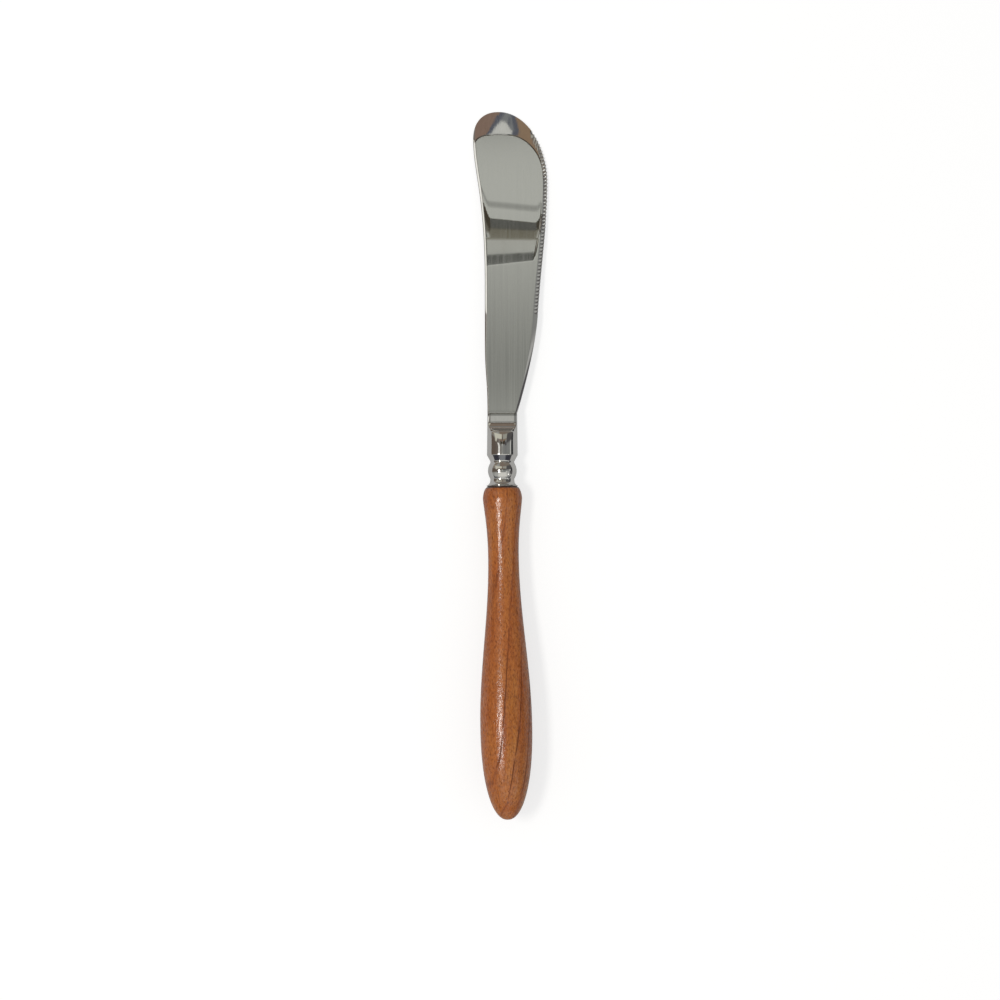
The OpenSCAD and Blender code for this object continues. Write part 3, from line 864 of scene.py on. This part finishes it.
def varnished_wood():
    """Orange-brown hardwood: slanting growth lines, fibres and short open pores under a satin varnish."""
    material, tree, shader = new_material("varnished_handle_wood")
    place = knife_coordinates(tree, HANDLE_LEAN)
    x, y, z = node(tree, "SeparateXYZ", {0: place}).outputs
    # Growth layers lean across the handle, so that their edges slant over the swell
    leaning = maths(tree, "ADD", maths(tree, "MULTIPLY", z, -0.6), maths(tree, "MULTIPLY", y, -0.125))
    bend = noise(tree, stretch(tree, place, (0.22, 0.03, 0.22)), detail=2.0)
    bend = maths(tree, "MULTIPLY", maths(tree, "SUBTRACT", bend, 0.5), 2.4)
    layer = maths(tree, "ADD", maths(tree, "ADD", x, leaning), bend)
    cycle = maths(tree, "FRACT", maths(tree, "MULTIPLY", maths(tree, "SUBTRACT", layer, 3.56), 0.2012))
    grown = ramp(tree, cycle, [
        (0.0, (0.93, 0.90, 0.88)), (0.12, (1.02, 1.05, 1.03)), (0.40, (1.09, 1.18, 1.13)),
        (0.78, (1.13, 1.25, 1.20)), (0.92, (1.08, 1.13, 1.10)), (1.0, (0.95, 0.94, 0.93)),
    ])
    tone = noise(tree, stretch(tree, place, (0.16, 0.05, 0.16), (3.0, 1.0, 0.0)), detail=2.0)
    tone = maths(tree, "ADD", tone, maths(tree, "MULTIPLY", x, 0.004))
    ground = ramp(tree, tone, [
        (0.30, (0.332, 0.077, 0.013)), (0.5, (0.364, 0.098, 0.020)), (0.70, (0.384, 0.117, 0.026)),
    ])
    fibres = noise(tree, stretch(tree, place, (2.6, 0.10, 2.6)), detail=3.0, roughness=0.6)
    fibre_tone = ramp(tree, fibres, [
        (0.30, (0.80, 0.75, 0.70)), (0.5, (1.0, 1.0, 1.0)), (0.70, (1.12, 1.15, 1.18)),
    ])
    grains = noise(tree, stretch(tree, place, (2.5, 1.0, 2.5)), detail=2.0, roughness=0.65)
    grain_tone = ramp(tree, grains, [
        (0.30, (0.60, 0.52, 0.46)), (0.48, (1.0, 1.0, 1.0)), (0.70, (1.20, 1.26, 1.32)),
    ])
    colour = mix(tree, 1.0, mix(tree, 1.0, ground, grown, "MULTIPLY"), fibre_tone, "MULTIPLY")
    colour = mix(tree, 1.0, colour, grain_tone, "MULTIPLY")
    # A yellower streak between two layers of the swell, and painted shade on the right side beside it
    streak = remap(tree, apart(tree, x, 1.6), 2.3, 1.1)
    streak = product(tree, streak, window(tree, y, (-50.0, -63.0), (-88.0, -78.0)))
    colour = mix(tree, streak, colour, mix(tree, 1.0, colour, (1.06, 1.28, 1.26), "MULTIPLY"))
    butt = remap(tree, y, -82.0, -91.0)
    colour = mix(tree, butt, colour, mix(tree, 1.0, colour, (1.02, 1.10, 1.14), "MULTIPLY"))
    # Painted shade: the wood darkens toward the right, away from the lamp on the left
    outer = remap(tree, x, 2.4, 7.0, 1.0, 0.86)
    painted_shade_tone = node(tree, "CombineColor", {0: outer, 1: outer, 2: outer}).outputs[0]
    colour = mix(tree, 1.0, colour, painted_shade_tone, "MULTIPLY")
    # Dark late wood along each layer's edge, broken into short runs, and open pores
    runs = noise(tree, stretch(tree, place, (0.9, 0.16, 0.9), (0.0, 4.0, 0.0)), detail=3.0, roughness=0.7)
    off_line = apart(tree, maths(tree, "FRACT", maths(tree, "ADD", cycle, 0.5)), 0.5)
    late = product(
        tree, remap(tree, off_line, 0.055, 0.02), remap(tree, runs, 0.35, 0.48),
        remap(tree, x, -3.6, -1.9, 0.25, 1.0), remap(tree, y, -93.0, -87.0, 0.25, 1.0),
        remap(tree, y, -56.0, -40.0, 1.0, 0.4),
    )
    pores = noise(tree, stretch(tree, place, (3.0, 0.55, 3.0), (7.0, 0.0, 2.0)), detail=1.0)
    pores = maths(tree, "MULTIPLY", remap(tree, pores, 0.66, 0.73), 0.75)
    dark = maths(tree, "MAXIMUM", maths(tree, "MULTIPLY", late, 0.85), pores)
    colour = mix(tree, dark, colour, (0.120, 0.036, 0.013))
    # The seat's rim is darkened: painted shade under the bolster's foot, along the dark glue
    colour = mix(tree, remap(tree, y, -0.80, -0.55), colour, (0.055, 0.016, 0.008))
    # The varnish sinks into the grain and breaks the lamp's reflection up
    ripple = noise(tree, stretch(tree, place, (1.6, 0.8, 1.6), (5.0, 0.0, 0.0)), detail=2.0, roughness=0.6)
    height = maths(tree, "ADD", ripple, maths(tree, "MULTIPLY", maths(tree, "ADD", fibres, grains), 0.5))
    height = maths(tree, "SUBTRACT", height, maths(tree, "MULTIPLY", dark, 0.2))
    cover = remap(tree, ripple, 0.40, 0.58, 0.40, 1.0)
    cover = maths(tree, "MULTIPLY", cover, remap(tree, dark, 0.1, 0.7, 1.0, 0.12))
    plug(tree, shader, Base_Color=colour, Roughness=0.55, Specular_IOR_Level=0.1, Coat_Weight=cover,
         Coat_Roughness=0.185, Coat_IOR=1.6, Normal=bump(tree, height, 2.5e-5),
         Coat_Normal=bump(tree, height, 6.0e-5))
    return material


def drawn_steel():
    """Tang: plain drawn rod."""
    material, tree, shader = new_material("drawn_tang_steel")
    place = knife_coordinates(tree)
    lines = noise(tree, stretch(tree, place, (3.0, 0.06, 3.0)), detail=3.0)
    colour = ramp(tree, lines, [(0.3, (0.42, 0.41, 0.39)), (0.7, (0.55, 0.54, 0.52))])
    plug(tree, shader, Base_Color=colour, Metallic=1.0, Roughness=remap(tree, lines, 0.3, 0.7, 0.28, 0.42))
    return material


def cured_glue():
    """Dark resin round the tang."""
    material, tree, shader = new_material("cured_glue_bed")
    place = knife_coordinates(tree)
    clouds = noise(tree, stretch(tree, place, (0.8, 0.8, 0.8)), detail=3.0)
    colour = ramp(tree, clouds, [(0.3, (0.030, 0.020, 0.014)), (0.7, (0.060, 0.040, 0.026))])
    plug(tree, shader, Base_Color=colour, Roughness=remap(tree, clouds, 0.3, 0.7, 0.35, 0.5))
    return material


# Stage: pale floor, a tent of plain cards that only reflections show, lamps and camera

TENT_R = 30.0
CAMERA_HEIGHT = 1.5
CAMERA_AT = (-3.08, -10.46)
FRAME_WIDTH = 296.2
ROOM_LIGHT = 0.54
FLOOR_TONE = 0.40
FLOOR_SEEN = 0.68
FLOOR_MIRRORED = 0.20
FLOOR_DROP = 0.00002
LAMP_TINT = (1.0, 0.975, 0.92)


def bare_material(name):
    """New material with an empty tree, and that tree."""
    material = bpy.data.materials.new(name)
    material.use_nodes = True
    material.node_tree.nodes.clear()
    return material, material.node_tree


def make_floor():
    material, tree = bare_material("pale_floor")
    path = node(tree, "LightPath")
    seen = maths(tree, "MAXIMUM", path.outputs["Is Camera Ray"], path.outputs["Is Transmission Ray"])
    mirrored = maths(tree, "MULTIPLY", path.outputs["Is Glossy Ray"], FLOOR_MIRRORED)
    strength = maths(tree, "ADD", maths(tree, "MULTIPLY", seen, FLOOR_SEEN), mirrored)
    paper = node(tree, "BsdfDiffuse", {"Color": (FLOOR_TONE, FLOOR_TONE, FLOOR_TONE, 1.0)})
    glow = node(tree, "Emission", {"Color": (1, 1, 1, 1), "Strength": strength})
    both = node(tree, "AddShader", {0: paper.outputs[0], 1: glow.outputs[0]})
    node(tree, "OutputMaterial", {"Surface": both.outputs[0]})
    bm = bmesh.new()
    bmesh.ops.create_grid(bm, x_segments=1, y_segments=1, size=TENT_R)
    floor = new_object(bm, "floor", material)
    floor.location.z = -FLOOR_DROP


def grey(level):
    return (level, level * 1.005, level * 0.955)


ROOM = grey(0.40)


def overhead_cards(tree, dy):
    """Cards above the knife in bands, from those that the heel mirrors to those that the tip mirrors."""
    low, high = 0.09, 0.33
    tan_card, dark_card = (0.205, 0.185, 0.135), grey(0.11)
    stops = (
        (0.090, grey(0.60)), (0.106, grey(0.58)), (0.1145, grey(0.44)), (0.1192, grey(0.33)),
        (0.125, grey(0.285)), (0.129, grey(0.315)), (0.147, grey(0.52)), (0.157, grey(0.63)),
        (0.172, grey(0.655)), (0.1764, grey(0.66)), (0.1783, grey(0.01)), (0.1897, grey(0.01)),
        (0.1922, grey(0.73)), (0.201, grey(0.73)), (0.204, tan_card), (0.2145, tan_card),
        (0.218, dark_card), (0.236, dark_card), (0.2395, grey(0.66)), (0.2565, grey(0.66)),
        (0.259, (0.24, 0.25, 0.255)), (0.33, (0.2, 0.21, 0.21)),
    )
    places = [((at - low) / (high - low), colour) for at, colour in stops]
    return ramp(tree, remap(tree, dy, low, high), places)


def side_cards(tree, dx, dy):
    """Sides that the barrel mirrors, in a plain grey room, with cards that the blade's edges mirror."""
    sides = ramp(tree, remap(tree, dx, -1.0, 1.0), [
        (0.0, (0.16, 0.125, 0.10)), (0.08, (0.15, 0.12, 0.10)), (0.22, (0.20, 0.17, 0.15)),
        (0.33, (0.26, 0.24, 0.22)), (0.45, (0.30, 0.29, 0.27)), (0.55, (0.30, 0.30, 0.29)),
        (0.72, (0.26, 0.265, 0.26)), (0.93, (0.29, 0.295, 0.285)), (0.943, (0.72, 0.72, 0.69)),
        (0.962, (0.72, 0.72, 0.69)), (0.968, (0.28, 0.28, 0.28)), (1.0, (0.24, 0.24, 0.24)),
    ])
    colour = mix(tree, remap(tree, apart(tree, dy, 0.09), 0.16, 0.30), sides, ROOM)
    # Beside the sheet overhead: dark to the left, brown and then dark to the right
    beside = ramp(tree, remap(tree, dx, -0.4, 0.4), [
        (0.45, (0.075, 0.075, 0.06)), (0.52, (0.075, 0.075, 0.06)), (0.53, (0.18, 0.165, 0.135)),
        (0.60, (0.18, 0.165, 0.135)), (0.63, (0.075, 0.06, 0.05)),
    ])
    beside = mix(tree, remap(tree, dy, 0.203, 0.210), beside, (0.070, 0.060, 0.045))
    mask = product(tree, window(tree, dx, (-0.27, -0.24), (0.38, 0.34)), remap(tree, dy, 0.165, 0.172))
    colour = mix(tree, mask, colour, beside)
    # A dark card that the teeth of the thin end mirror
    card = product(tree, window(tree, dx, (0.32, 0.35), (0.55, 0.50)),
                   window(tree, dy, (0.135, 0.15), (0.24, 0.22)))
    return mix(tree, card, colour, (0.11, 0.105, 0.11))


def tip_wall(tree, colour, dx, dy, dz):
    """Toward the tip: brown on the left and tan on the right, below a brown wall with cream boards."""
    off = maths(tree, "ABSOLUTE", dx)
    lobes = ramp(tree, remap(tree, dx, -0.12, 0.12), [
        (0.45, (0.268, 0.185, 0.145)), (0.55, (0.305, 0.212, 0.140)),
    ])
    beyond = mix(tree, remap(tree, dz, 0.30, 0.42), (0.29, 0.245, 0.20), ROOM)
    beyond = mix(tree, remap(tree, dx, 0.0, 0.1), beyond, (0.25, 0.215, 0.18))
    low_band = window(tree, dz, (0.20, 0.24), (0.46, 0.42))
    wall = mix(tree, low_band, (0.26, 0.205, 0.165), grey(0.26))
    wall = mix(tree, remap(tree, off, 0.24, 0.38), wall, beyond)
    wall = mix(tree, remap(tree, dy, 0.30, 0.32), lobes, wall)
    reach = maths(tree, "SUBTRACT", dy, maths(tree, "MULTIPLY", off, 0.12))
    colour = mix(tree, remap(tree, reach, 0.236, 0.243), colour, wall)
    # Cream boards to both sides, with a dark gap between them
    aside = remap(tree, off, 0.05, 0.08)
    gap = product(tree, maths(tree, "SUBTRACT", 1.0, aside), window(tree, dy, (0.46, 0.40), (0.30, 0.32)))
    colour = mix(tree, gap, colour, (0.12, 0.10, 0.085))
    above = maths(tree, "SUBTRACT", dy, remap(tree, off, 0.60, 0.70, 0.32, 0.20))
    creamy = product(tree, remap(tree, above, 0.0, 0.02), remap(tree, dy, 0.62, 0.55), aside,
                     remap(tree, dx, -0.85, -0.75))
    cream = mix(tree, remap(tree, dx, -0.1, 0.1), (0.76, 0.74, 0.63), (0.42, 0.41, 0.36))
    return mix(tree, creamy, colour, cream)


def right_cards(tree, colour, dx, dy):
    """Dark boards far to the right: a broad one, a post and one that the outer ends of the teeth mirror."""
    broad = product(tree, remap(tree, dx, 0.50, 0.56), window(tree, dy, (0.17, 0.22), (0.70, 0.56)))
    colour = mix(tree, broad, colour, (0.11, 0.105, 0.105))
    post = product(tree, remap(tree, dx, 0.93, 0.945), window(tree, dy, (-0.10, 0.0), (0.56, 0.46)))
    colour = mix(tree, post, colour, (0.045, 0.045, 0.05))
    low = product(tree, remap(tree, dx, 0.62, 0.70), window(tree, dy, (-0.38, -0.30), (0.05, -0.02)))
    return mix(tree, low, colour, (0.11, 0.105, 0.11))


def handle_end(tree, colour, dx, dy, dz):
    """Toward the handle: a bright sheet over a dark sill, and a dark skirting to both sides."""
    off = maths(tree, "ABSOLUTE", dx)
    below = maths(tree, "SUBTRACT", dy, remap(tree, dx, 0.45, 0.52, -0.14, 0.06))
    sheet = product(tree, remap(tree, below, 0.0, -0.11, smooth=True),
                    window(tree, dx, (0.92, 0.84), (-0.92, -0.82)))
    sheet_tone = ramp(tree, remap(tree, dx, -1.0, 1.0), [
        (0.20, (0.50, 0.50, 0.48)), (0.27, (0.85, 0.84, 0.79)),
        (0.75, (0.85, 0.84, 0.79)), (0.83, (0.50, 0.50, 0.485)),
    ])
    colour = mix(tree, sheet, colour, sheet_tone)
    across = maths(tree, "MULTIPLY", dx, dx)
    bow = maths(tree, "ADD", maths(tree, "MULTIPLY", across, 0.173), 0.152)
    off_sill = apart(tree, maths(tree, "ADD", dy, 0.80), maths(tree, "MULTIPLY", across, bow))
    sill_tone = ramp(tree, off, [(0.28, (0.26, 0.27, 0.29)), (0.42, (0.05, 0.05, 0.065))])
    colour = mix(tree, remap(tree, off_sill, 0.050, 0.030), colour, sill_tone)
    skirting = product(tree, remap(tree, dz, 0.20, 0.13), remap(tree, off, 0.52, 0.62),
                       remap(tree, dy, -0.44, -0.52))
    return mix(tree, skirting, colour, (0.07, 0.068, 0.075))


def make_tent():
    """Grey and brown cards overhead and round about, seen only in reflections."""
    material, tree = bare_material("tent_cards")
    way = node(tree, "VectorMath", {0: node(tree, "TexCoord").outputs["Object"]}, operation="NORMALIZE")
    dx, dy, dz = node(tree, "SeparateXYZ", {0: way.outputs[0]}).outputs
    colour = side_cards(tree, dx, dy)
    colour = tip_wall(tree, colour, dx, dy, dz)
    colour = right_cards(tree, colour, dx, dy)
    # Overhead sheet: wide above the heel, narrow and slanting above the tip, with a dark stripe on each side
    slant = maths(tree, "SUBTRACT", dy, 0.245, clamp=True)
    narrow = remap(tree, dy, 0.236, 0.241)
    left_end = maths(tree, "ADD", remap(tree, narrow, 0.0, 1.0, -0.030, -0.010), slant)
    right_end = maths(tree, "ADD", remap(tree, narrow, 0.0, 1.0, 0.030, 0.0135),
                      maths(tree, "MULTIPLY", slant, 1.12))
    past = maths(tree, "MAXIMUM", maths(tree, "SUBTRACT", left_end, dx),
                 maths(tree, "SUBTRACT", dx, right_end))
    stripe = product(tree, remap(tree, past, 0.0145, 0.0125), narrow, remap(tree, dy, 0.32, 0.30))
    colour = mix(tree, stripe, colour, (0.11, 0.12, 0.15))
    colour = handle_end(tree, colour, dx, dy, dz)
    spare = remap(tree, dy, 0.170, 0.178, 0.045, 0.0)
    inside = remap(tree, maths(tree, "SUBTRACT", spare, past), -0.001, 0.001)
    inside = product(tree, inside, window(tree, dy, (0.30, 0.29), (-0.10, 0.04)))
    colour = mix(tree, inside, colour, overhead_cards(tree, dy))
    # A bright bar on the left, mirrored along the spine
    lean = maths(tree, "MULTIPLY", maths(tree, "SUBTRACT", dy, 0.125, clamp=True), 1.8)
    off_bar = maths(tree, "ABSOLUTE", maths(tree, "ADD", maths(tree, "ADD", dx, 0.40), lean))
    bar = product(tree, remap(tree, off_bar, 0.11, 0.07), window(tree, dy, (-0.10, 0.0), (0.205, 0.19)))
    colour = mix(tree, bar, colour, (1.1, 1.09, 1.04))
    glow = node(tree, "Emission", {"Color": colour, "Strength": 1.0})
    node(tree, "OutputMaterial", {"Surface": glow.outputs[0]})
    bm = bmesh.new()
    bmesh.ops.create_icosphere(bm, subdivisions=4, radius=TENT_R)
    tent = new_object(bm, "tent", material)
    tent.visible_camera = False
    tent.visible_diffuse = False
    tent.visible_shadow = False
    tent.visible_transmission = False
    tent.visible_volume_scatter = False


def make_lamp(name, way, distance, size, light):
    """Area lamp along a direction from the knife, facing it."""
    lamp = bpy.data.lights.new(name, "AREA")
    lamp.shape = "RECTANGLE"
    lamp.size, lamp.size_y = size
    lamp.energy = light
    lamp.color = LAMP_TINT
    at = Vector(way).normalized()
    holder = bpy.data.objects.new(name, lamp)
    holder.location = at * distance
    side = Vector((0, 1, 0)).cross(at).normalized()
    up = at.cross(side)
    holder.rotation_euler = Matrix((side, up, at)).transposed().to_euler()
    bpy.context.scene.collection.objects.link(holder)


def make_world(level):
    world = bpy.data.worlds.new("plain_room")
    bpy.context.scene.world = world
    world.use_nodes = True
    tree = world.node_tree
    tree.nodes.clear()
    path = node(tree, "LightPath")
    seen = maths(tree, "MAXIMUM", path.outputs["Is Camera Ray"], path.outputs["Is Glossy Ray"])
    seen = maths(tree, "MAXIMUM", seen, path.outputs["Is Transmission Ray"])
    strength = remap(tree, seen, 0.0, 1.0, level, 1.0)
    sky = node(tree, "Background", {"Color": (1, 1, 1, 1), "Strength": strength})
    node(tree, "OutputWorld", {"Surface": sky.outputs[0]})


def make_camera():
    data = bpy.data.cameras.new("overhead_camera")
    data.sensor_width = 36.0
    knife_height = REST_HEIGHT * MM
    data.lens = data.sensor_width * (CAMERA_HEIGHT - knife_height) / (FRAME_WIDTH * MM)
    data.clip_end = 100.0
    camera = bpy.data.objects.new("overhead_camera", data)
    camera.location = (CAMERA_AT[0] * MM, CAMERA_AT[1] * MM, CAMERA_HEIGHT)
    bpy.context.scene.collection.objects.link(camera)
    bpy.context.scene.camera = camera


def dress_hidden(name, material):
    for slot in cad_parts[name].material_slots:
        slot.material = material


make_camera()
make_world(ROOM_LIGHT)
make_floor()
make_tent()
make_lamp("soft_box", (-0.43, -0.07, 0.90), 1.1, (0.17, 0.34), 4.1)
make_lamp("side_lamp", (0.72, -0.42, 0.55), 1.3, (0.12, 0.12), 0.2)
bpy.context.scene.view_settings.view_transform = "Standard"

make_blade(satin_steel(), polished_steel("polished_blade_grind", 0.03, 0.70))
make_bolster(polished_steel("polished_bolster_steel", 0.055, 0.63))
make_handle(varnished_wood())
dress_hidden("tang", drawn_steel())
dress_hidden("glue_bed", cured_glue())
